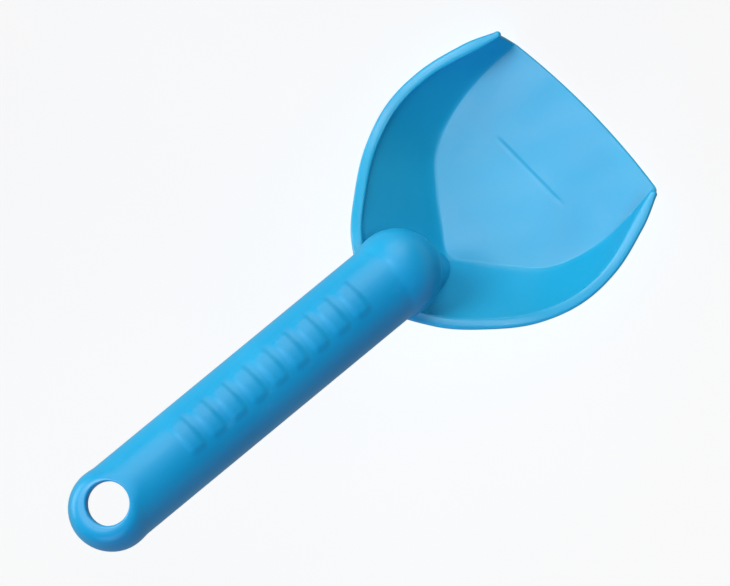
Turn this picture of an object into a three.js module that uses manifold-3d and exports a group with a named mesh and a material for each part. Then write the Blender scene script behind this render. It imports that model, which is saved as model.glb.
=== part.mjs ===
// A one-hand feed scoop in blue polypropylene: a shallow shield-shaped bowl on a round hollow handle.
//
// Three mouldings make it up: the bowl with the root that carries the handle, the handle's upper shell
// with its domed nose and hanging eye, and the lower shell that closes the grip from below.
//
// Millimetres. +X points to the lip, +Y to the left of someone holding the scoop, +Z up. The bowl stands
// on its flat base at z = 0, and the origin is below the middle of the whole scoop.

import * as THREE from 'three';
import { mergeVertices } from 'three/addons/utils/BufferGeometryUtils.js';
import Module from 'manifold-3d';

const wasm = await Module();
wasm.setup();

// ---- driving dimensions -----------------------------------------------------------------------------

const GAP = 0.3;                      // clearance between neighbouring mouldings

const BOWL_WALL = 2.4;                // sheet thickness of the bowl
const LIP_WALL = 1.4;                 // the underside tapers to this at the digging edge
const LIP_TAPER = 10;                 // length of that taper
const LIP_BULGE = 2.8;                // how far the middle of the lip stands in front of its corners
const BEAD_HALF = 2.3;                // half width of the flat-topped bead along the rim
const BEAD_HALF_AT_LIP = 1.4;         // it narrows to this at the lip corners
const BEAD_FADE = 0.14;               // share of the rim over which it narrows
const BEAD_DEPTH = 1.4;               // half of its thickness
const BEAD_FLATNESS = 0.7;            // 1 makes its section an ellipse, less makes the top flatter
const FOOT_R = 2.6;                   // radius of the sheet's bend where the floor turns into the wall
const FOOT_PULL = 0.8;                // how hard the crease draws the wall's lower and upper end to itself
const WALL_PULL = 0.86;
const MOUTH_HALF = 41;                // half width of the flat floor at the lip

// Half of the floor's crease and half of the rim's outer edge, from the lip corner to the back middle.
// A rim point's third number is its height above the floor.
const CREASE = [
  [0, MOUTH_HALF], [-14, 41.8], [-28, 41.2], [-42, 38],
  [-53, 32.2], [-62.5, 22.4], [-71, 11.8], [-78, 0],
];
const RIM = [
  [0, 45.8, 13.4], [-12, 50.2, 15], [-30, 54.7, 16.4], [-48, 54.4, 19],
  [-65.5, 47.9, 22.5], [-79.8, 37.1, 28.6], [-92.8, 22.8, 36.5], [-102.3, 0, 41.5],
];

const HANDLE_PITCH = THREE.MathUtils.degToRad(29.5);  // the handle climbs at this angle from the bowl
const NOSE_X = -87.7;                 // centre of the domed nose
const NOSE_Z = 46.7;
const NOSE_R = 17.3;                  // the nose swells beyond the grip
const GRIP_LENGTH = 149;              // from the centre of the nose to the centre of the round tail
const GRIP_R = 16;
const GRIP_WALL = 2.6;
const TAIL_R = 16.4;                  // the round tail swells a little beyond the grip
const PARTING_DROP = 4.5;             // the shells part this far below the handle's axis

const EYE_RISE = 11.6;                // the flat around the hanging eye, above the centre of the tail
const EYE_SHIFT = 2.1;                // the eye sits this far forward of the centre of the tail
const EYE_R = 8.4;
const EYE_PLATE = 4.4;

const LOWER_WALL = 3.2;
const TONGUE_INSET = GRIP_WALL + GAP; // the lower shell's tongue stands up inside the upper shell
const TONGUE_WALL = 1.5;
const TONGUE_SPAN = [-7, -1.5];       // lowest and highest level of the tongue, from the axis
const BULKHEAD_BACK = 21;             // the lower shell's end wall, forward of the centre of the tail
const BULKHEAD_WALL = 2.4;

const PLUG_R = 12;                    // the bowl's root stands up inside the nose
const PLUG_EASE = 0.1;                // and clears the nose by this much more than the other joints
const PLUG_SHOULDER = 4;              // above this distance below the nose's centre the root is domed
const SPIGOT_INSET = TONGUE_INSET + TONGUE_WALL + GAP;  // ribbed spigot, inside the tongue
const SPIGOT_LENGTH = 62;
const SPIGOT_WEB = 3;
const COLLAR_STEPS = [[2.6, 0.7], [1.4, 1.5]];  // the bowl rises round the nose: each step's reach and height

const BAR_COUNT = 9;                  // raised anti-slip bars on the top of the handle
const BAR_FIRST = 26.5;               // from the centre of the nose
const BAR_PITCH = 10.75;
const BAR_HALF_LENGTH = 3.2;          // along the handle
const BAR_HALF_SPAN = 7.2;            // across the handle
const BAR_RISE = 0.7;
const BAR_ROUND = 1.6;                // radius of a bar's corners

const RAYS = 48;                      // facets around the bowl, always even
const FLOOR_RINGS = 3;                // facets over its floor, its wall and its bead
const WALL_RINGS = 6;
const BEAD_STEPS = 8;
const BEAD_SWEEP = THREE.MathUtils.degToRad(132);
const ROUND_SIDES = 40;               // facets around the handle
const DOME_STEPS = 10;
const TAIL_STEPS = 10;
const CORNER_SIDES = 3;
const FAR = 400;                      // beyond everything
const CUBIC_START = 1.5;              // a cubic curve starts with the radius 1.5 run^2 / rise

const BLUE = { color: 0x2b9be6, roughness: 0.38, metalness: 0 };

// ---- joining and cutting ----------------------------------------------------------------------------

function solid(geometry) {
  for (const name of Object.keys(geometry.attributes)) {
    if (name !== 'position') geometry.deleteAttribute(name);
  }
  const merged = mergeVertices(geometry, 1e-4);
  return new wasm.Manifold(new wasm.Mesh({
    numProp: 3,
    vertProperties: new Float32Array(merged.attributes.position.array),
    triVerts: new Uint32Array(merged.index.array),
  }));
}

function geometryOf(manifold) {
  const mesh = manifold.getMesh();
  const geometry = new THREE.BufferGeometry();
  geometry.setAttribute('position', new THREE.BufferAttribute(new Float32Array(mesh.vertProperties), 3));
  geometry.setIndex(new THREE.BufferAttribute(new Uint32Array(mesh.triVerts), 1));
  return geometry;
}

function box(low, high) {
  const size = high.map((value, axis) => value - low[axis]);
  const middle = high.map((value, axis) => (value + low[axis]) / 2);
  return new THREE.BoxGeometry(...size).translate(...middle);
}

function upright(radius, x, low, high) {
  const post = new THREE.CylinderGeometry(radius, radius, high - low, ROUND_SIDES);
  return solid(post.rotateX(Math.PI / 2).translate(x, 0, (low + high) / 2));
}

// ---- the bowl's sheet -------------------------------------------------------------------------------

const curveThrough = (points) => new THREE.CatmullRomCurve3(
  points.map(([x, y, z = 0]) => new THREE.Vector3(x, y, z)),
  false,
  'centripetal',
);
const creaseCurve = curveThrough(CREASE);
const rimCurve = curveThrough(RIM);
const floorMiddle = BOWL_WALL / 2;
const lipX = (y) => LIP_BULGE * Math.max(0, 1 - (y / MOUTH_HALF) ** 2);

// Ray 0 lies along the left half of the lip, the middle one runs straight back, the last is the right half.
function rayPlace(i) {
  const turn = 2 * i / RAYS;
  return { side: turn <= 1 ? 1 : -1, along: turn <= 1 ? turn : 2 - turn };
}

// How far inside the crease the floor starts to bend, so that the bend has its radius under a wall this high.
function footRun(height) {
  const rise = height * (1 - WALL_PULL);
  return Math.sqrt(FOOT_R * rise / CUBIC_START) / FOOT_PULL;
}

// The middle of the sheet along one ray: floor, then a concave wall that ends at the middle of the bead.
function middleLine(i) {
  const { side, along } = rayPlace(i);
  const crease = creaseCurve.getPoint(along).setZ(floorMiddle);
  const rim = rimCurve.getPoint(along);
  const out = new THREE.Vector3(rim.x - crease.x, rim.y - crease.y, 0).normalize();
  const bead = rim.clone().addScaledVector(out, -BEAD_HALF);
  bead.z += BOWL_WALL;
  const hub = new THREE.Vector3(LIP_BULGE, 0, floorMiddle);
  const foot = crease.clone().addScaledVector(out, -footRun(bead.z - floorMiddle));
  const line = [];
  for (let k = 0; k <= FLOOR_RINGS; k += 1) line.push(hub.clone().lerp(foot, k / FLOOR_RINGS));
  const low = foot.clone().lerp(crease, FOOT_PULL);
  const high = bead.clone().lerp(crease, WALL_PULL);
  const wall = new THREE.CubicBezierCurve3(line[FLOOR_RINGS], low, high, bead);
  for (let k = 1; k <= WALL_RINGS; k += 1) line.push(wall.getPoint(k / WALL_RINGS));
  if (along === 0) {
    for (const point of line.slice(0, FLOOR_RINGS + 1)) point.x = lipX(point.y);
  }
  for (const point of line) point.y *= side;
  return line;
}

const middles = Array.from({ length: RAYS + 1 }, (_, i) => middleLine(i));
const lastRing = FLOOR_RINGS + WALL_RINGS;

// The sheet's normal, pointing up and into the bowl.
function normalAt(i, j) {
  if (j <= FLOOR_RINGS) return new THREE.Vector3(0, 0, 1);
  const out = middles[i][Math.min(j + 1, lastRing)].clone().sub(middles[i][j - 1]);
  const round = middles[Math.min(i + 1, RAYS)][j].clone().sub(middles[Math.max(i - 1, 0)][j]);
  return out.cross(round).normalize();
}

const shifted = (i, j, distance) => middles[i][j].clone().addScaledVector(normalAt(i, j), distance);

function underside(i, j) {
  const { x, y } = middles[i][j];
  const inside = Math.min(1, Math.max(0, (lipX(y) - x) / LIP_TAPER));
  return BOWL_WALL / 2 - (BOWL_WALL - LIP_WALL) * (1 - inside);
}

const flattened = (value) => Math.sign(value) * Math.abs(value) ** BEAD_FLATNESS;

function beadArc(i, grow) {
  const fade = Math.min(1, rayPlace(i).along / BEAD_FADE);
  const half = BEAD_HALF_AT_LIP + (BEAD_HALF - BEAD_HALF_AT_LIP) * fade + grow;
  const depth = BEAD_DEPTH + grow;
  const climb = middles[i][lastRing].clone().sub(middles[i][lastRing - 1]);
  const slope = Math.atan2(climb.z, Math.hypot(climb.x, climb.y));
  const out = climb.setZ(0).normalize();
  return Array.from({ length: BEAD_STEPS + 1 }, (_, k) => {
    const angle = slope + BEAD_SWEEP * (1 - 2 * k / BEAD_STEPS);
    const point = middles[i][lastRing].clone().addScaledVector(out, half * flattened(Math.cos(angle)));
    point.z += depth * flattened(Math.sin(angle));
    return point;
  });
}

// Closes a fan of sections around the hub. Each section runs over the upper side from the hub to the edge
// and back along the lower side, and its first `pairs` points face its last ones across the sheet.
function closedFan(sections, pairs) {
  const corners = [];
  const last = sections[0].length - 1;
  for (let i = 0; i < RAYS; i += 1) {
    for (let k = 0; k < last; k += 1) {
      if (k < last - 1) corners.push(sections[i][k], sections[i][k + 1], sections[i + 1][k + 1]);
      if (k > 0) corners.push(sections[i][k], sections[i + 1][k + 1], sections[i + 1][k]);
    }
  }
  const cap = (section, flip) => {
    const face = (a, b, c) => corners.push(...(flip ? [a, c, b] : [a, b, c]));
    for (let k = 0; k < pairs - 1; k += 1) {
      face(section[last - k], section[last - k - 1], section[k + 1]);
      face(section[last - k], section[k + 1], section[k]);
    }
    for (let k = pairs; k <= last - pairs; k += 1) face(section[pairs - 1], section[k + 1], section[k]);
  };
  cap(sections[0], false);
  cap(sections[RAYS], true);
  const geometry = new THREE.BufferGeometry();
  geometry.setFromPoints(corners);
  return solid(geometry);
}

function bowlSheet(grow) {
  const sections = middles.map((line, i) => {
    const rings = line.slice(0, lastRing).map((_, j) => j);
    const upper = rings.map((j) => shifted(i, j, BOWL_WALL / 2 + grow));
    const lower = rings.map((j) => shifted(i, j, -underside(i, j) - grow)).reverse();
    return [...upper, ...beadArc(i, grow), ...lower];
  });
  return closedFan(sections, lastRing);
}

// Everything straight above the sheet, once its middle is moved by `distance` along its normals.
function columnAbove(distance) {
  const sections = middles.map((line, i) => {
    const lower = line.map((_, j) => shifted(i, j, distance));
    const upper = lower.map((point) => point.clone().setZ(FAR));
    return [...upper, ...lower.reverse()];
  });
  return closedFan(sections, lastRing + 1);
}

// ---- the handle's frame: -x runs up the handle from the centre of the nose, +z is its top -------------

const handleFrame = new THREE.Matrix4()
  .makeTranslation(NOSE_X, 0, NOSE_Z)
  .multiply(new THREE.Matrix4().makeRotationY(HANDLE_PITCH));
const onHandle = (geometry) => solid(geometry.applyMatrix4(handleFrame));

// The grip's round body `inset` below its outer surface: a straight grip between a swollen, domed nose and
// a swollen tail.
function gripBody(inset) {
  const radius = GRIP_R - inset;
  const noseRadius = NOSE_R - inset;
  const tailRadius = TAIL_R - inset;
  const narrow = Math.PI - Math.asin(radius / noseRadius);
  const swell = Math.asin(radius / tailRadius);
  const profile = [new THREE.Vector2(0, -noseRadius)];
  for (let k = 1; k <= DOME_STEPS; k += 1) {
    const angle = narrow * (k / DOME_STEPS);
    profile.push(new THREE.Vector2(noseRadius * Math.sin(angle), -noseRadius * Math.cos(angle)));
  }
  for (let k = 0; k < TAIL_STEPS; k += 1) {
    const angle = swell + (Math.PI - swell) * (k / TAIL_STEPS);
    const along = GRIP_LENGTH - tailRadius * Math.cos(angle);
    profile.push(new THREE.Vector2(tailRadius * Math.sin(angle), along));
  }
  profile.push(new THREE.Vector2(0, GRIP_LENGTH + tailRadius));
  return onHandle(new THREE.LatheGeometry(profile, ROUND_SIDES).rotateZ(Math.PI / 2));
}

const handleSlab = (low, high) => onHandle(box([-FAR, -FAR, low], [FAR, FAR, high]));

const tailX = NOSE_X - GRIP_LENGTH * Math.cos(HANDLE_PITCH);
const tailZ = NOSE_Z + GRIP_LENGTH * Math.sin(HANDLE_PITCH);
const eyeFace = tailZ + EYE_RISE;

// ---- the three mouldings ----------------------------------------------------------------------------

function roundedBar(centre) {
  const [a, b, r] = [BAR_HALF_LENGTH, BAR_HALF_SPAN, BAR_ROUND];
  const outline = new THREE.Shape();
  outline.moveTo(a, b - r);
  outline.absarc(a - r, b - r, r, 0, Math.PI / 2);
  outline.absarc(r - a, b - r, r, Math.PI / 2, Math.PI);
  outline.absarc(r - a, r - b, r, Math.PI, 1.5 * Math.PI);
  outline.absarc(a - r, r - b, r, 1.5 * Math.PI, 2 * Math.PI);
  const depth = GRIP_R;
  const bar = new THREE.ExtrudeGeometry(outline, { depth, bevelEnabled: false, curveSegments: CORNER_SIDES });
  return onHandle(bar.translate(-centre, 0, GRIP_R - GRIP_WALL / 2));
}

function gripBars() {
  let bars = roundedBar(BAR_FIRST);
  for (let k = 1; k < BAR_COUNT; k += 1) bars = bars.add(roundedBar(BAR_FIRST + k * BAR_PITCH));
  return bars.intersect(gripBody(-BAR_RISE));
}

function handleUpperShell() {
  const outside = gripBody(0).add(gripBars());
  const hollow = gripBody(GRIP_WALL)
    .subtract(solid(box([-FAR, -FAR, eyeFace - EYE_PLATE], [FAR, FAR, FAR])));
  const shell = outside
    .subtract(solid(box([-FAR, -FAR, eyeFace], [FAR, FAR, FAR])))
    .subtract(hollow)
    .subtract(upright(EYE_R, tailX + EYE_SHIFT, eyeFace - 2 * EYE_PLATE, eyeFace + EYE_PLATE));
  const grip = shell.intersect(handleSlab(-PARTING_DROP, FAR));
  const nose = shell.intersect(columnAbove(BOWL_WALL / 2 + 2 * GAP));
  return grip
    .add(nose)
    .subtract(bowlSheet(GAP))
    .subtract(upright(PLUG_R + GAP, NOSE_X, 0, NOSE_Z - PLUG_SHOULDER));
}

function handleLowerShell() {
  const wall = gripBody(0)
    .subtract(gripBody(LOWER_WALL))
    .intersect(handleSlab(-FAR, -PARTING_DROP - GAP));
  const tongue = gripBody(TONGUE_INSET)
    .subtract(gripBody(TONGUE_INSET + TONGUE_WALL))
    .intersect(handleSlab(...TONGUE_SPAN));
  const end = BULKHEAD_BACK - GRIP_LENGTH;
  const bulkhead = gripBody(TONGUE_INSET)
    .intersect(onHandle(box([end, -FAR, -FAR], [end + BULKHEAD_WALL, FAR, FAR])));
  return wall
    .add(tongue)
    .intersect(onHandle(box([end, -FAR, -FAR], [FAR, FAR, FAR])))
    .subtract(columnAbove(BOWL_WALL / 2))
    .subtract(bowlSheet(GAP))
    .subtract(upright(PLUG_R + GAP, NOSE_X, 0, NOSE_Z + GRIP_R))
    .add(bulkhead);
}

function bowlRoot() {
  const domed = gripBody(GRIP_WALL + GAP + PLUG_EASE)
    .add(solid(box([-FAR, -FAR, 0], [FAR, FAR, NOSE_Z - PLUG_SHOULDER])));
  const plug = upright(PLUG_R, NOSE_X, 0, NOSE_Z + GRIP_R).intersect(domed);
  const half = SPIGOT_WEB / 2;
  const webs = onHandle(box([-SPIGOT_LENGTH, -half, -FAR], [0, half, FAR]))
    .add(onHandle(box([-SPIGOT_LENGTH, -FAR, -half], [0, FAR, half])));
  return plug
    .intersect(columnAbove(0))
    .add(webs.intersect(gripBody(SPIGOT_INSET)));
}

function noseCollar() {
  const steps = COLLAR_STEPS.map(([reach, height]) => gripBody(-reach)
    .intersect(columnAbove(0))
    .intersect(bowlSheet(height)));
  return steps.reduce((whole, step) => whole.add(step)).subtract(gripBody(-GAP));
}

function scoopBowl() {
  return bowlSheet(0).add(noseCollar()).add(bowlRoot());
}

// ---- the scene graph --------------------------------------------------------------------------------

function moulding(name, manifold) {
  const mesh = new THREE.Mesh(geometryOf(manifold), new THREE.MeshStandardMaterial(BLUE));
  mesh.name = name;
  return mesh;
}

const scoop = new THREE.Group();
scoop.name = 'feed_scoop';
scoop.add(moulding('scoop_bowl', scoopBowl()));
scoop.add(moulding('handle_upper_shell', handleUpperShell()));
scoop.add(moulding('handle_lower_shell', handleLowerShell()));

const bounds = new THREE.Box3().setFromObject(scoop, true);
scoop.position.x = -(bounds.min.x + bounds.max.x) / 2;

export default scoop;
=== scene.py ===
import math

import bmesh
import bpy
import numpy as np
from mathutils import Matrix, Vector


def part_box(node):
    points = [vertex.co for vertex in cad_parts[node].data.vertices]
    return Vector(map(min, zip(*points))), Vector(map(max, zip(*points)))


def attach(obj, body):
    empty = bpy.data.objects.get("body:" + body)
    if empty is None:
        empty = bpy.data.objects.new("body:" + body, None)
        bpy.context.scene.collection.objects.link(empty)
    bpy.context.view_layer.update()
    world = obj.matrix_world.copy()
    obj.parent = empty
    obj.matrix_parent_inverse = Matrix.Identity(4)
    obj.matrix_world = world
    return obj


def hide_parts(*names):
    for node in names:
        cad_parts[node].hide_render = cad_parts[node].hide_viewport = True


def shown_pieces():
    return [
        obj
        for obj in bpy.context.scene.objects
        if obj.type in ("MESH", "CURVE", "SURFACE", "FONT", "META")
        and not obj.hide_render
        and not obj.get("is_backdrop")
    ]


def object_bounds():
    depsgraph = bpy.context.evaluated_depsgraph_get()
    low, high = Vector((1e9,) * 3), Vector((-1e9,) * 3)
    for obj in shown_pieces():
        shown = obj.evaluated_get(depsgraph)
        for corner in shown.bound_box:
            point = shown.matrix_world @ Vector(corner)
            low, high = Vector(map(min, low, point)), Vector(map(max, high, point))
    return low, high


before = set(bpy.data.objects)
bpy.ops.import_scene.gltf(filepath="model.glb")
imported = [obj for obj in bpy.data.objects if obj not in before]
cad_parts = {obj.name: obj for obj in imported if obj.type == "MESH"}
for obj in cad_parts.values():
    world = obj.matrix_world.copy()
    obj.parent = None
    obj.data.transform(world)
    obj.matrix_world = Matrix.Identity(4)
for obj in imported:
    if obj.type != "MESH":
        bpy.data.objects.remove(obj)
cad_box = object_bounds()

# A one-hand feed scoop in glossy blue polypropylene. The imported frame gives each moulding's place; the
# shown pieces are finer meshes of the same mouldings, with softened edges and moulded-plastic materials.

# ---- driving dimensions, in metres unless a name says otherwise --------------------------------------

MM = 0.001
GAP = 0.3 * MM                        # clearance between neighbouring mouldings

BOWL_WALL = 2.4 * MM
LIP_WALL = 1.4 * MM                   # the underside tapers to this at the digging edge
LIP_TAPER = 10 * MM
LIP_BULGE = 2.8 * MM                  # how far the middle of the lip stands in front of its corners
BEAD_HALF = 2.3 * MM                  # half width of the flat-topped bead along the rim
BEAD_HALF_AT_LIP = 1.4 * MM
BEAD_FADE = 0.14                      # share of the rim over which it widens from the lip corner
BEAD_DEPTH = 1.4 * MM                 # half of its thickness
BEAD_FLATNESS = 0.6                   # 1 makes its section an ellipse, less makes the top flatter
FOOT_R = 2.6 * MM                     # radius of the sheet's bend where the floor turns into the wall
FOOT_PULL = 0.8                       # how hard the crease draws the wall's two ends towards itself
WALL_PULL = 0.86
CUBIC_START = 1.5                     # a cubic curve starts with the radius 1.5 run^2 / rise
MOUTH_HALF = 41 * MM

# Half of the floor's crease and half of the rim's outer edge, from the lip corner to the back middle,
# in millimetres. A rim point's third number is its height above the floor.
CREASE = [
    (0, 41), (-14, 41.8), (-28, 41.2), (-42, 38),
    (-53, 32.2), (-62.5, 22.4), (-71, 11.8), (-78, 0),
]
RIM = [
    (0, 45.8, 13.4), (-12, 50.2, 15), (-30, 54.7, 16.4), (-48, 54.4, 19),
    (-65.5, 47.9, 22.5), (-79.8, 37.1, 28.6), (-92.8, 22.8, 36.5), (-102.3, 0, 41.5),
]

HANDLE_PITCH = math.radians(29.5)
NOSE_X = -87.7 * MM                   # centre of the domed nose, from the lip corners and the base
NOSE_Z = 46.7 * MM
NOSE_R = 17.3 * MM                    # the nose swells beyond the grip
GRIP_LENGTH = 149 * MM
GRIP_R = 16 * MM
GRIP_WALL = 2.6 * MM
TAIL_R = 16.4 * MM
SWELL_BLEND = 0.5 * MM                # rounds the step where the nose and the tail swell out of the grip
PARTING_DROP = 4.5 * MM

EYE_RISE = 11.6 * MM
EYE_SHIFT = 2.1 * MM
EYE_R = 8.4 * MM
EYE_PLATE = 4.4 * MM
EYE_ROUND = 0.9 * MM                  # radius of the eye's rounded edges
FACET_ROUND = 2.2 * MM                # softness of the edge between the flat and the round tail

LOWER_WALL = 3.2 * MM
TONGUE_INSET = GRIP_WALL + GAP
TONGUE_WALL = 1.5 * MM
TONGUE_SPAN = (-7 * MM, -1.5 * MM)
BULKHEAD_BACK = 21 * MM
BULKHEAD_WALL = 2.4 * MM

PLUG_R = 12 * MM
PLUG_EASE = 0.1 * MM
PLUG_SHOULDER = 4 * MM
SPIGOT_INSET = TONGUE_INSET + TONGUE_WALL + GAP
SPIGOT_LENGTH = 62 * MM
SPIGOT_WEB = 3 * MM
COLLAR_REACH = 3.0 * MM               # the bowl rises round the nose: how far out that starts
COLLAR_RISE = 1.8 * MM                # and how high it gets beside the nose

BAR_COUNT = 9
BAR_FIRST = 26.5 * MM
BAR_PITCH = 10.75 * MM
BAR_HALF_LENGTH = 3.2 * MM
BAR_HALF_SPAN = 7.2 * MM
BAR_RISE = 0.6 * MM
BAR_ROUND = 1.6 * MM
BAR_SOFT = 1.5 * MM                   # half width of a bar's sloping edge

RAYS = 320                            # facets around the bowl, always even
FLOOR_RINGS = 8
WALL_RINGS = 52
BEAD_STEPS = 28
BEAD_SWEEP = math.radians(132)
LIP_STEPS = 6                         # facets over the rounded digging edge
SIDES = 220                           # facets around the handle, closer together along its top
TOP_DENSITY = 0.4
DOME_STEPS = 36
FINE_STEP = 0.45 * MM                 # facet length along the barred part of the grip
COARSE_STEP = 2.5 * MM
ROUND_SIDES = 128
FAR = 0.4                             # beyond everything
SHARP = math.radians(50)              # edges that turn more than this are drawn as edges

UP = np.array([0, 0, 1.0])
lip_corner_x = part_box("scoop_bowl")[1].x - LIP_BULGE
nose = np.array([lip_corner_x + NOSE_X, 0, NOSE_Z])
tailward = np.array([-math.cos(HANDLE_PITCH), 0, math.sin(HANDLE_PITCH)])
topward = np.array([math.sin(HANDLE_PITCH), 0, math.cos(HANDLE_PITCH)])
tail = nose + tailward * GRIP_LENGTH
eye_face = tail[2] + EYE_RISE
eye = (tail[0] + EYE_SHIFT, 0)


# ---- meshes ------------------------------------------------------------------------------------------

def unit(v):
    return v / np.linalg.norm(v, axis=-1, keepdims=True)


def mesh_object(name, points, faces):
    mesh = bpy.data.meshes.new(name)
    mesh.from_pydata([tuple(p) for p in points], [], faces)
    bm = bmesh.new()
    bm.from_mesh(mesh)
    bmesh.ops.remove_doubles(bm, verts=bm.verts, dist=MM / 1000)
    bmesh.ops.recalc_face_normals(bm, faces=bm.faces)
    bm.to_mesh(mesh)
    bm.free()
    made = bpy.data.objects.new(name, mesh)
    bpy.context.scene.collection.objects.link(made)
    return made


def grid_faces(rows, columns, closed_rows=False):
    """Quads between neighbouring points of a grid numbered row by row."""
    faces = []
    for r in range(rows if closed_rows else rows - 1):
        after = (r + 1) % rows
        for c in range(columns - 1):
            near = r * columns + c
            far = after * columns + c
            faces.append((near, near + 1, far + 1, far))
    return faces


def combine(first, operation, *others):
    """Joins, cuts or intersects the first mesh with the others, which are used up."""
    for other in others:
        modifier = first.modifiers.new("combine", "BOOLEAN")
        modifier.operation = operation
        modifier.solver = "MANIFOLD"
        modifier.object = other
        bake_modifiers(first)
        bpy.data.objects.remove(other)
    return first


def bake_modifiers(target):
    evaluated = target.evaluated_get(bpy.context.evaluated_depsgraph_get())
    mesh = bpy.data.meshes.new_from_object(evaluated)
    target.modifiers.clear()
    target.data = mesh


def duplicate(source):
    made = source.copy()
    made.data = source.data.copy()
    bpy.context.scene.collection.objects.link(made)
    return made


def block(low, high):
    """A box between two corners, as a cutter."""
    corners = [
        (x, y, z)
        for x in (low[0], high[0])
        for y in (low[1], high[1])
        for z in (low[2], high[2])
    ]
    sides = [(0, 1, 3, 2), (4, 6, 7, 5), (0, 4, 5, 1), (2, 3, 7, 6), (0, 2, 6, 4), (1, 5, 7, 3)]
    return mesh_object("cutter", corners, sides)


def lathe(profile, x, sides=ROUND_SIDES):
    """A closed body turned about the upright line at x. The profile runs from axis to axis."""
    rings = []
    for k in range(sides):
        angle = 2 * math.pi * k / sides
        rings += [(x + r * math.cos(angle), r * math.sin(angle), z) for r, z in profile]
    return mesh_object("turned", rings, grid_faces(sides, len(profile), closed_rows=True))


def upright(radius, x, low, high):
    return lathe([(0, low), (radius, low), (radius, high), (0, high)], x)


def finish_surface(piece):
    """Smooth shading that keeps the real edges and isn't pulled about by thin faces beside a cut."""
    piece.data.shade_smooth()
    piece.data.set_sharp_from_angle(angle=SHARP)
    weighted = piece.modifiers.new("weighted", "WEIGHTED_NORMAL")
    weighted.keep_sharp = True
    weighted.weight = 100
    bake_modifiers(piece)
    return piece


# ---- the bowl's sheet --------------------------------------------------------------------------------

def spline(points, share):
    """A point of the centripetal curve through the points, which goes on as its mirror image."""
    points = [np.array([x, y, z[0] if z else 0], float) for x, y, *z in points]
    place = share * (len(points) - 1)
    k = min(int(place), len(points) - 2)
    mirrored = points[-2] * np.array([1, -1, 1])
    before = points[k - 1] if k else 2 * points[0] - points[1]
    after = points[k + 2] if k + 2 < len(points) else mirrored
    near, far = points[k], points[k + 1]
    d0, d1, d2 = (math.sqrt(np.linalg.norm(b - a)) for a, b in ((before, near), (near, far), (far, after)))
    t = place - k
    start = ((near - before) / d0 - (far - before) / (d0 + d1) + (far - near) / d1) * d1
    end = ((far - near) / d1 - (after - near) / (d1 + d2) + (after - far) / d2) * d1
    bend = -3 * near + 3 * far - 2 * start - end
    tighten = 2 * near - 2 * far + start + end
    return (near + start * t + bend * t ** 2 + tighten * t ** 3) * MM


def lip_x(y):
    return LIP_BULGE * max(0, 1 - (y / MOUTH_HALF) ** 2)


def foot_run(height):
    """How far inside the crease the floor starts to bend, for a wall this high."""
    rise = height * (1 - WALL_PULL)
    return math.sqrt(FOOT_R * rise / CUBIC_START) / FOOT_PULL


def middle_line(i):
    """The middle of the sheet along one ray: floor, then a concave wall up to the middle of the bead."""
    turn = 2 * i / RAYS
    along = min(turn, 2 - turn)
    crease = spline(CREASE, along)
    rim = spline(RIM, along)
    out = unit((rim - crease) * np.array([1, 1, 0]))
    crease[2] = BOWL_WALL / 2
    bead = rim - out * BEAD_HALF + UP * BOWL_WALL
    hub = np.array([LIP_BULGE, 0, BOWL_WALL / 2])
    foot = crease - out * foot_run(bead[2] - crease[2])
    line = [hub + (foot - hub) * k / FLOOR_RINGS for k in range(FLOOR_RINGS)]
    low = foot + (crease - foot) * FOOT_PULL
    high = bead + (crease - bead) * WALL_PULL
    for k in range(WALL_RINGS + 1):
        t = k / WALL_RINGS
        u = 1 - t
        line.append(foot * u ** 3 + low * 3 * u * u * t + high * 3 * u * t * t + bead * t ** 3)
    line = np.array(line)
    if along == 0:
        line[:, 0] = [lip_x(y) for y in line[:, 1]]
    line[:, 1] *= 1 if turn <= 1 else -1
    return line


middles = np.array([middle_line(i) for i in range(RAYS + 1)])
last_ring = FLOOR_RINGS + WALL_RINGS


def sheet_normals():
    """The sheet's normals, pointing up and into the bowl."""
    out = np.empty_like(middles)
    out[:, 1:-1] = middles[:, 2:] - middles[:, :-2]
    out[:, -1] = middles[:, -1] - middles[:, -2]
    out[:, 0] = out[:, 1]
    around = np.empty_like(middles)
    around[1:-1] = middles[2:] - middles[:-2]
    around[0] = middles[1] - middles[0]
    around[-1] = middles[-1] - middles[-2]
    normals = np.tile(UP, (*middles.shape[:2], 1))
    walls = slice(FLOOR_RINGS, None)
    normals[:, walls] = unit(np.cross(out[:, walls], around[:, walls]))
    return normals


normals = sheet_normals()


def underside_depth(point):
    """How far the lower surface lies below the middle of the sheet."""
    inside = min(1, max(0, (lip_x(point[1]) - point[0]) / LIP_TAPER))
    return BOWL_WALL / 2 - (BOWL_WALL - LIP_WALL) * (1 - inside)


def flattened(value):
    return np.sign(value) * np.abs(value) ** BEAD_FLATNESS


def bead_arc(i, grow):
    turn = 2 * i / RAYS
    fade = math.sin(min(1, min(turn, 2 - turn) / BEAD_FADE) * math.pi / 2)
    half = BEAD_HALF_AT_LIP + (BEAD_HALF - BEAD_HALF_AT_LIP) * fade + grow
    depth = BEAD_DEPTH + grow
    climb = middles[i, last_ring] - middles[i, last_ring - 1]
    slope = math.atan2(climb[2], math.hypot(climb[0], climb[1]))
    out = unit(climb * np.array([1, 1, 0]))
    angle = slope + BEAD_SWEEP * (1 - 2 * np.arange(BEAD_STEPS + 1) / BEAD_STEPS)
    return (
        middles[i, last_ring]
        + (half * flattened(np.cos(angle)))[:, None] * out
        + (depth * flattened(np.sin(angle)))[:, None] * UP
    )


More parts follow.
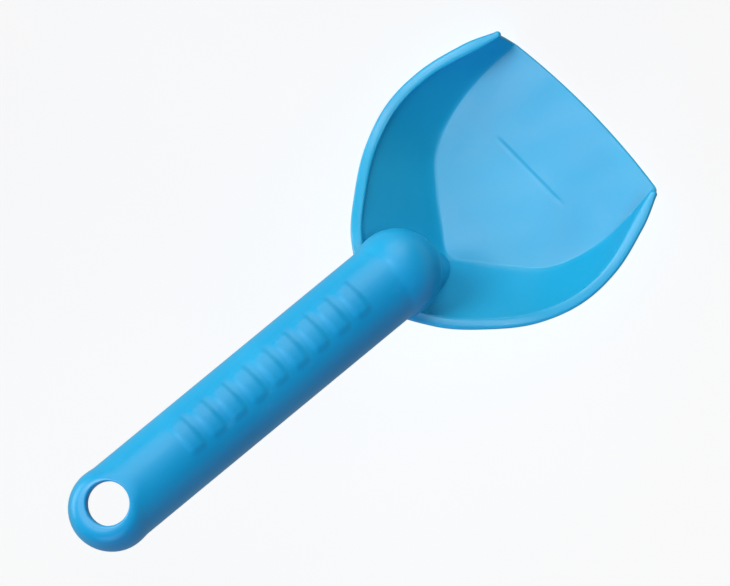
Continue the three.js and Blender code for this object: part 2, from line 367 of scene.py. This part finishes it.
def lip_turns(section):
    """Sections that carry a lip section round the digging edge, from its upper to its lower side."""
    upper = section[:len(section) // 2]
    lower = section[::-1][:len(section) // 2]
    turns = []
    for k in range(1, LIP_STEPS // 2 + 1):
        angle = math.pi / 2 * k / (LIP_STEPS // 2)
        middle = (upper + lower) / 2
        half = (upper - lower) / 2
        bulge = np.linalg.norm(half, axis=1, keepdims=True) * np.array([[1, 0, 0]])
        above = middle + half * math.cos(angle) + bulge * math.sin(angle)
        below = middle - half * math.cos(angle) + bulge * math.sin(angle)
        centre = section[len(upper):len(section) - len(upper)]
        turns.append(np.concatenate([above, centre, below[::-1]]))
    return turns


def fan(name, sections):
    """A closed body from sections that run round the sheet, one after another about the hub."""
    sections = np.array(sections)
    count, length = sections.shape[:2]
    points = (sections + np.array([lip_corner_x, 0, 0])).reshape(-1, 3)
    return mesh_object(name, points, grid_faces(count, length))


def collar_rise(points):
    """How far the upper surface rises at these points of the sheet to meet the handle's nose."""
    offset = points + np.array([lip_corner_x, 0, 0]) - nose
    along = np.clip(offset @ tailward, 0, GRIP_LENGTH)
    from_grip = np.linalg.norm(offset - along[:, None] * tailward, axis=1) - GRIP_R
    distance = np.minimum(from_grip, np.linalg.norm(offset, axis=1) - NOSE_R)
    return COLLAR_RISE * np.clip(1 - distance / COLLAR_REACH, 0, 1)[:, None] ** 2


def bowl_sheet(name="sheet", grow=0.0):
    sections = []
    for i in range(RAYS + 1):
        line = middles[i, :last_ring]
        surface = line + normals[i, :last_ring] * BOWL_WALL / 2
        upper = surface + normals[i, :last_ring] * (collar_rise(surface) + grow)
        depth = np.array([[underside_depth(p) + grow] for p in line])
        lower = line - normals[i, :last_ring] * depth
        sections.append(np.concatenate([upper, bead_arc(i, grow), lower[::-1]]))
    first = lip_turns(sections[0])[::-1]
    last = lip_turns(sections[-1])
    return fan(name, [*first, *sections, *last])


def column_above(distance):
    """Everything straight above the sheet, once its middle is moved along its normals."""
    sections = []
    for i in range(RAYS + 1):
        lower = middles[i] + normals[i] * distance
        upper = lower * np.array([1, 1, 0]) + UP * FAR
        sections.append(np.concatenate([upper, lower[::-1]]))
    flat = [np.concatenate([s[:len(s) // 2], s[:len(s) // 2][::-1]]) for s in (sections[0], sections[-1])]
    return fan("column", [flat[0], *sections, flat[1]])


# ---- the handle --------------------------------------------------------------------------------------

def soft_least(a, b, blend):
    closeness = np.maximum(blend - np.abs(a - b), 0) / blend
    return np.minimum(a, b) - closeness ** 2 * blend / 4


def stations(inset, fine):
    """Distances from the centre of the nose at which the handle's rings lie, with their radii."""
    radius, nose_radius, tail_radius = GRIP_R - inset, NOSE_R - inset, TAIL_R - inset
    dome = [-nose_radius * math.cos(math.pi / 2 * k / DOME_STEPS) for k in range(DOME_STEPS)]
    bars_end = BAR_FIRST + BAR_PITCH * BAR_COUNT
    step = FINE_STEP if fine else COARSE_STEP
    first = np.arange(0, BAR_FIRST - BAR_PITCH, COARSE_STEP / 4)
    barred = np.arange(BAR_FIRST - BAR_PITCH, bars_end, step)
    rest = np.arange(bars_end, GRIP_LENGTH - tail_radius / 2, COARSE_STEP / 2)
    tail_turns = np.linspace(2 * math.pi / 3, 0, 2 * DOME_STEPS + 1)
    ball = tail_radius * np.cos(tail_turns)
    s = np.concatenate([dome, first, barred, rest, GRIP_LENGTH + ball])
    nose_ball = np.sqrt(np.maximum(nose_radius ** 2 - s ** 2, 0))
    tail_ball = np.sqrt(np.maximum(tail_radius ** 2 - (s - GRIP_LENGTH) ** 2, 0))
    swollen = -soft_least(-radius, -np.maximum(nose_ball, tail_ball), SWELL_BLEND)
    r = np.where(s < 0, nose_ball, np.where(s > GRIP_LENGTH, tail_ball, swollen))
    return s, r


def bar_height(s, y):
    """The raised bars' height over the grip at a distance along it and across it."""
    nearest = np.clip(np.round((s - BAR_FIRST) / BAR_PITCH), 0, BAR_COUNT - 1)
    along = np.abs(s - BAR_FIRST - nearest * BAR_PITCH) - (BAR_HALF_LENGTH - BAR_ROUND)
    across = np.abs(y) - (BAR_HALF_SPAN - BAR_ROUND)
    corner = np.hypot(np.maximum(along, 0), np.maximum(across, 0))
    distance = corner + np.minimum(np.maximum(along, across), 0) - BAR_ROUND
    share = np.clip(0.5 - distance / (2 * BAR_SOFT), 0, 1)
    return BAR_RISE * share * share * (3 - 2 * share)


def grip_body(inset, barred=False, flat=None, sides=SIDES):
    """The grip's round body `inset` below its surface. `flat` is the height its tail is cut off at."""
    s, r = stations(inset, barred)
    turn = 2 * math.pi * np.arange(sides) / sides
    angle = turn - TOP_DENSITY * np.sin(turn)
    rings = []
    for a in angle:
        radius = r.copy()
        if barred:
            radius += bar_height(s, r * math.sin(a)) * (math.cos(a) > 0)
        rings.append(
            nose
            + s[:, None] * tailward
            + (radius * math.cos(a))[:, None] * topward
            + (radius * math.sin(a))[:, None] * np.array([0, 1, 0])
        )
    points = np.array(rings)
    if flat is not None:
        points[:, :, 2] = soft_least(points[:, :, 2], flat, FACET_ROUND)
    return mesh_object("grip", points.reshape(-1, 3), grid_faces(sides, len(s), closed_rows=True))


def on_handle(low, high):
    """A box in the handle's own directions: distance along it, across it, and above its axis."""
    cutter = block(low, high)
    across = np.cross(topward, tailward)
    turned = Matrix([[*row] for row in np.array([tailward, across, topward]).T]).to_4x4()
    cutter.data.transform(Matrix.Translation(Vector(nose)) @ turned)
    return cutter


def handle_slab(low, high):
    return on_handle((-FAR, -FAR, low), (FAR, FAR, high))


def eye_cutter():
    """The eye's straight hole with its rounded upper and lower edges."""
    low = eye_face - EYE_PLATE
    upper = [
        (EYE_R + EYE_ROUND * (1 - math.cos(a)), eye_face - EYE_ROUND * (1 - math.sin(a)))
        for a in np.linspace(0, math.pi / 2, 9)
    ]
    lower = [(r, low + eye_face - z) for r, z in reversed(upper)]
    outer = EYE_R + EYE_ROUND
    profile = [(0, low - EYE_PLATE), (outer, low - EYE_PLATE), *lower]
    profile += [*upper, (outer, eye_face + EYE_PLATE), (0, eye_face + EYE_PLATE)]
    return lathe(profile, eye[0])


def upper_shell():
    outside = grip_body(0, barred=True, flat=eye_face)
    hollow = grip_body(GRIP_WALL, flat=eye_face - EYE_PLATE, sides=SIDES // 2)
    shell = combine(outside, "DIFFERENCE", hollow, eye_cutter())
    front = combine(duplicate(shell), "INTERSECT", column_above(BOWL_WALL / 2 + 2 * GAP))
    grip = combine(shell, "INTERSECT", handle_slab(-PARTING_DROP, FAR))
    clearance = upright(PLUG_R + GAP, nose[0], 0, NOSE_Z - PLUG_SHOULDER)
    whole = combine(grip, "UNION", front)
    return combine(whole, "DIFFERENCE", bowl_sheet(grow=GAP), clearance)


def lower_shell():
    end = GRIP_LENGTH - BULKHEAD_BACK
    wall = combine(grip_body(0), "DIFFERENCE", grip_body(LOWER_WALL, sides=SIDES // 2))
    wall = combine(wall, "INTERSECT", handle_slab(-FAR, -PARTING_DROP - GAP))
    tongue = grip_body(TONGUE_INSET, sides=SIDES // 2)
    tongue = combine(tongue, "DIFFERENCE", grip_body(TONGUE_INSET + TONGUE_WALL, sides=SIDES // 2))
    tongue = combine(tongue, "INTERSECT", handle_slab(*TONGUE_SPAN))
    bulkhead = grip_body(TONGUE_INSET, sides=SIDES // 2)
    bulkhead = combine(bulkhead, "INTERSECT", on_handle((end - BULKHEAD_WALL, -FAR, -FAR), (end, FAR, FAR)))
    shell = combine(wall, "UNION", tongue)
    shell = combine(shell, "INTERSECT", on_handle((-FAR, -FAR, -FAR), (end, FAR, FAR)))
    clearance = upright(PLUG_R + GAP, nose[0], 0, NOSE_Z + GRIP_R)
    shell = combine(shell, "DIFFERENCE", column_above(BOWL_WALL / 2), bowl_sheet(grow=GAP), clearance)
    return combine(shell, "UNION", bulkhead)


def bowl_root():
    """The hidden plug in the nose and the ribbed spigot in the grip."""
    domed = grip_body(GRIP_WALL + GAP + PLUG_EASE, sides=SIDES // 2)
    shoulder = block((-FAR, -FAR, 0), (FAR, FAR, NOSE_Z - PLUG_SHOULDER))
    plug = upright(PLUG_R, nose[0], 0, NOSE_Z + GRIP_R)
    plug = combine(plug, "INTERSECT", combine(domed, "UNION", shoulder), column_above(0))
    half = SPIGOT_WEB / 2
    webs = combine(
        on_handle((0, -half, -FAR), (SPIGOT_LENGTH, half, FAR)),
        "UNION",
        on_handle((0, -FAR, -half), (SPIGOT_LENGTH, FAR, half)),
    )
    spigot = combine(webs, "INTERSECT", grip_body(SPIGOT_INSET, sides=SIDES // 2))
    return combine(plug, "UNION", spigot)


def bowl():
    return combine(bowl_sheet("bowl"), "UNION", bowl_root())


# ---- materials ---------------------------------------------------------------------------------------

BLUE = (0.010, 0.365, 0.625, 1)
DEEP_BLUE = (0.007, 0.335, 0.59, 1)
SCUFFED = (0.25, 0.55, 0.85, 1)
SCUFF_SHARE = 0.04                    # how much of that colour a scuff takes
SCUFF_SCALE = 420
SCUFF_STRETCH = (0.12, 1, 1)          # scuffs run along the scoop
SCUFF_ROUGHENS = 0.35
ROUGHNESS = (0.34, 0.48)              # from untouched to scuffed plastic
PEEL_SCALE = 260                      # orange peel
PEEL_DEPTH = 0.02 * MM
WAVE_SCALE = 38                       # slow unevenness of a moulded wall
WAVE_DEPTH = 0.35 * MM
PLASTIC_IOR = 1.49
PLASTIC_SPECULAR = 0.45
PAPER = (0.93, 0.93, 0.93, 1)
PAPER_SHADE = (0.905, 0.905, 0.91, 1)
PAPER_ROUGHNESS = 0.9
PAPER_SPECULAR = 0.1
PAPER_GRAIN = 0.02 * MM

SINK_X = -29.5 * MM                   # the faint sink mark across the floor, a shallow dip darkened with painted shade, from the lip corners
SINK_HALF_WIDTH = 1.6 * MM
SINK_HALF_LENGTH = 20 * MM
SINK_FADE = 0.7                       # share of that length over which the mark keeps its strength
SINK_SHADE_SHARE = 0.22                     # how much of the deeper blue it takes, as painted shade along the dip
SINK_DEPTH = 0.12 * MM


class Nodes:
    """Short names for the few things a material's node tree is built from."""

    def __init__(self, name):
        self.material = bpy.data.materials.new(name)
        self.material.use_nodes = True
        self.tree = self.material.node_tree
        self.shader = self.tree.nodes["Principled BSDF"]
        self.place = self.tree.nodes.new("ShaderNodeTexCoord").outputs["Object"]

    def add(self, kind, inputs=None, **settings):
        node = self.tree.nodes.new(kind)
        for key, value in settings.items():
            setattr(node, key, value)
        for key, value in (inputs or {}).items():
            if isinstance(value, bpy.types.NodeSocket):
                self.tree.links.new(value, node.inputs[key])
            else:
                node.inputs[key].default_value = value
        return node

    def noise(self, scale, detail=2.0, stretch=(1, 1, 1), distortion=0.0):
        mapping = self.add("ShaderNodeMapping", {"Vector": self.place, "Scale": stretch})
        inputs = {"Vector": mapping.outputs[0], "Scale": scale, "Detail": detail, "Distortion": distortion}
        return self.add("ShaderNodeTexNoise", inputs).outputs["Fac"]

    def spread(self, value, low, high, to_low, to_high):
        inputs = {"Value": value, "From Min": low, "From Max": high, "To Min": to_low, "To Max": to_high}
        return self.add("ShaderNodeMapRange", inputs, interpolation_type="SMOOTHSTEP").outputs[0]

    def mix(self, share, first, second):
        """A colour mix, whose factor, two colours and result are its sockets 0, 6, 7 and 2."""
        inputs = {0: share, 6: first, 7: second}
        return self.add("ShaderNodeMix", inputs, data_type="RGBA").outputs[2]

    def math(self, operation, first, second=0.0):
        return self.add("ShaderNodeMath", {0: first, 1: second}, operation=operation).outputs[0]

    def bump(self, height, depth, before=None):
        inputs = {"Height": height, "Distance": depth, "Strength": 1.0}
        if before is not None:
            inputs["Normal"] = before
        return self.add("ShaderNodeBump", inputs).outputs[0]

    def feed(self, **inputs):
        for key, value in inputs.items():
            self.tree.links.new(value, self.shader.inputs[key.replace("_", " ")])


def plastic(name, sink_dip_and_shade=False):
    """Glossy moulded polypropylene: a slightly uneven tone, a faint orange peel and fine handling scuffs."""
    n = Nodes(name)
    cloud = n.spread(n.noise(22, 3), 0.35, 0.65, 0, 1)
    tone = n.mix(cloud, DEEP_BLUE, BLUE)
    scuffs = n.spread(n.noise(SCUFF_SCALE, 4, stretch=SCUFF_STRETCH, distortion=0.4), 0.6, 0.74, 0, 1)
    patches = n.spread(n.noise(35, 2), 0.45, 0.62, 0, 1)
    worn = n.math("MULTIPLY", scuffs, patches)
    colour = n.mix(n.math("MULTIPLY", worn, SCUFF_SHARE), tone, SCUFFED)
    normal = n.bump(n.noise(WAVE_SCALE, 1), WAVE_DEPTH)
    normal = n.bump(n.noise(PEEL_SCALE, 2), PEEL_DEPTH, normal)
    if sink_dip_and_shade:
        sink_dip_and_shade_mask = sink_dip_and_shade_band(n)
        # painted shade: the sink mark's shallow dip is also darkened in colour
        colour = n.mix(n.math("MULTIPLY", sink_dip_and_shade_mask, SINK_SHADE_SHARE), colour, DEEP_BLUE)
        normal = n.bump(n.math("MULTIPLY", sink_dip_and_shade_mask, -1), SINK_DEPTH, normal)
    rubbed = n.math("ADD", n.math("MULTIPLY", worn, SCUFF_ROUGHENS), n.noise(90, 3))
    roughness = n.spread(rubbed, 0.3, 1.1, *ROUGHNESS)
    n.feed(Base_Color=colour, Roughness=roughness, Normal=normal)
    n.shader.inputs["IOR"].default_value = PLASTIC_IOR
    n.shader.inputs["Specular IOR Level"].default_value = PLASTIC_SPECULAR
    return n.material


def sink_dip_and_shade_band(n):
    """A faint sink mark across the bowl's floor, where a thicker section cooled last: the band for its
    shallow dip and for the painted shade along it.
    """
    split = n.add("ShaderNodeSeparateXYZ", {"Vector": n.place})
    offset = n.math("SUBTRACT", split.outputs["X"], lip_corner_x + SINK_X)
    near = n.math("ABSOLUTE", offset)
    across = n.math("ABSOLUTE", split.outputs["Y"])
    narrow = n.spread(near, 0, SINK_HALF_WIDTH, 1, 0)
    ends = n.spread(across, SINK_HALF_LENGTH * SINK_FADE, SINK_HALF_LENGTH, 1, 0)
    low = n.spread(split.outputs["Z"], BOWL_WALL, 2 * BOWL_WALL, 1, 0)
    return n.math("MULTIPLY", n.math("MULTIPLY", narrow, ends), low)


def paper():
    n = Nodes("pale_floor")
    cloud = n.spread(n.noise(3, 4), 0.3, 0.7, 0, 1)
    n.feed(Base_Color=n.mix(cloud, PAPER_SHADE, PAPER), Normal=n.bump(n.noise(300, 3), PAPER_GRAIN))
    n.shader.inputs["Roughness"].default_value = PAPER_ROUGHNESS
    n.shader.inputs["Specular IOR Level"].default_value = PAPER_SPECULAR
    return n.material


# ---- pieces ------------------------------------------------------------------------------------------

def show(piece, name, node, material):
    piece.name = name
    piece.data.name = name
    piece.data.materials.clear()
    piece.data.materials.append(material)
    finish_surface(piece)
    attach(piece, "root")
    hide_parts(node)


bowl_blue = plastic("bowl_blue", sink_dip_and_shade=True)
handle_blue = plastic("handle_blue")
show(bowl(), "bowl_moulding", "scoop_bowl", bowl_blue)
show(upper_shell(), "handle_upper_moulding", "handle_upper_shell", handle_blue)
show(lower_shell(), "handle_lower_moulding", "handle_lower_shell", handle_blue)

# ---- stage, lights and camera ------------------------------------------------------------------------

FLOOR_HALF = 30.0
VIEW_TILT = math.radians(12)          # the camera leans this far from straight above, to the scoop's right
VIEW_LEAN = math.radians(8)           # and this far towards the lip
VIEW_ROLL = math.radians(44.13)       # then turns about its line of sight
VIEW_WIDTH = 0.2765                   # width of the picture at the scoop
VIEW_DISTANCE = 5.0
AIM_SHIFT = Vector((0.0163, -0.0005, 0))
SENSOR = 36.0

# Soft lights that only the scoop takes: name, heading from the lip towards its left, height, width, power,
# tone, and the word in the names of the pieces it lights. The rim light is mirrored by the bowl's back rim.
WHITE = (1, 1, 1)
COOL = (0.7, 0.86, 1.4)
SCOOP, BOWL, HANDLE = "moulding", "bowl", "handle"
SOFT_LIGHTS = [
    ("left_key", 120, 14, 48, 2.0, WHITE, SCOOP),
    ("high_left_key", 90, 66, 26, 1.9, WHITE, SCOOP),
    ("lip_left_sheen", 40, 24, 48, 1.1, WHITE, SCOOP),
    ("right_fill", 225, 30, 48, 1.0, COOL, SCOOP),
    ("lip_fill", 15, 55, 48, 0.6, COOL, HANDLE),
    ("rim_light", 317, 60, 16, 0.85, WHITE, BOWL),
]
LIGHT_DISTANCE = 1.5
FLOOR_POWER = 3.15                    # even light that only the floor takes, so that its tone stays plain
SKY = 0.02
SKY_BELOW = 0.35                      # stands in for the light that a pale floor sends back up
HORIZON = 0.1                         # half width of the change from one to the other


def pale_floor():
    corners = [(-1, -1), (1, -1), (1, 1), (-1, 1)]
    floor = mesh_object("floor", [(x * FLOOR_HALF, y * FLOOR_HALF, 0) for x, y in corners], [(0, 1, 2, 3)])
    floor.data.materials.append(paper())
    floor.visible_diffuse = False
    floor.visible_glossy = False
    floor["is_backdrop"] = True
    return floor


def soft_sun(name, direction, power, angle, tone, target):
    data = bpy.data.lights.new(name, "SUN")
    data.energy = power
    data.angle = angle
    data.color = tone
    lamp = bpy.data.objects.new(name, data)
    bpy.context.scene.collection.objects.link(lamp)
    lamp.location = target + direction * LIGHT_DISTANCE
    lamp.rotation_euler = direction.to_track_quat("Z", "Y").to_euler()
    return lamp


def light_only(lamp, receivers):
    group = bpy.data.collections.new(lamp.name + "_receivers")
    for receiver in receivers:
        group.objects.link(receiver)
    lamp.light_linking.receiver_collection = group


def camera_axes():
    """The picture's right and up directions, and the direction from the scoop to the camera."""
    a, b = VIEW_LEAN, VIEW_TILT
    lipward = Vector((math.cos(a), 0, -math.sin(a)))
    rightward = Vector((-math.sin(b) * math.sin(a), -math.cos(b), -math.sin(b) * math.cos(a)))
    right = lipward * math.cos(VIEW_ROLL) + rightward * math.sin(VIEW_ROLL)
    up = lipward * math.sin(VIEW_ROLL) - rightward * math.cos(VIEW_ROLL)
    return right, up, right.cross(up)


def camera(target):
    right, up, back = camera_axes()
    data = bpy.data.cameras.new("camera")
    data.sensor_width = SENSOR
    data.lens = SENSOR * VIEW_DISTANCE / VIEW_WIDTH
    data.clip_end = 4 * VIEW_DISTANCE
    made = bpy.data.objects.new("camera", data)
    bpy.context.scene.collection.objects.link(made)
    rotation = Matrix((right, up, back)).transposed().to_4x4()
    made.matrix_world = Matrix.Translation(target + back * VIEW_DISTANCE) @ rotation
    bpy.context.scene.camera = made


def sky():
    """Hardly any light from above, and an even one from below."""
    world = bpy.data.worlds.new("sky")
    world.use_nodes = True
    nodes, links = world.node_tree.nodes, world.node_tree.links
    direction = nodes.new("ShaderNodeTexCoord").outputs["Generated"]
    split = nodes.new("ShaderNodeSeparateXYZ")
    links.new(direction, split.inputs[0])
    strength = nodes.new("ShaderNodeMapRange")
    links.new(split.outputs["Z"], strength.inputs["Value"])
    strength.inputs["From Min"].default_value = -HORIZON
    strength.inputs["From Max"].default_value = HORIZON
    strength.inputs["To Min"].default_value = SKY_BELOW
    strength.inputs["To Max"].default_value = SKY
    background = nodes["Background"]
    background.inputs["Color"].default_value = (1, 1, 1, 1)
    links.new(strength.outputs[0], background.inputs["Strength"])
    bpy.context.scene.world = world


low_corner, high_corner = cad_box
centre = (low_corner + high_corner) / 2
floor = pale_floor()
sky()
camera(centre + AIM_SHIFT)
for light_name, *turns, power, tone, part in SOFT_LIGHTS:
    heading, height, width = (math.radians(turn) for turn in turns)
    flat = math.cos(height)
    towards_light = Vector((flat * math.cos(heading), flat * math.sin(heading), math.sin(height)))
    lit = [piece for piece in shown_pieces() if part in piece.name]
    light_only(soft_sun(light_name, towards_light, power, width, tone, centre), lit)
floor_light = soft_sun("floor_light", Vector((0, 0, 1)), FLOOR_POWER, 0, WHITE, centre)
floor_light.data.use_shadow = False
light_only(floor_light, [floor])
bpy.context.scene.view_settings.view_transform = "Standard"
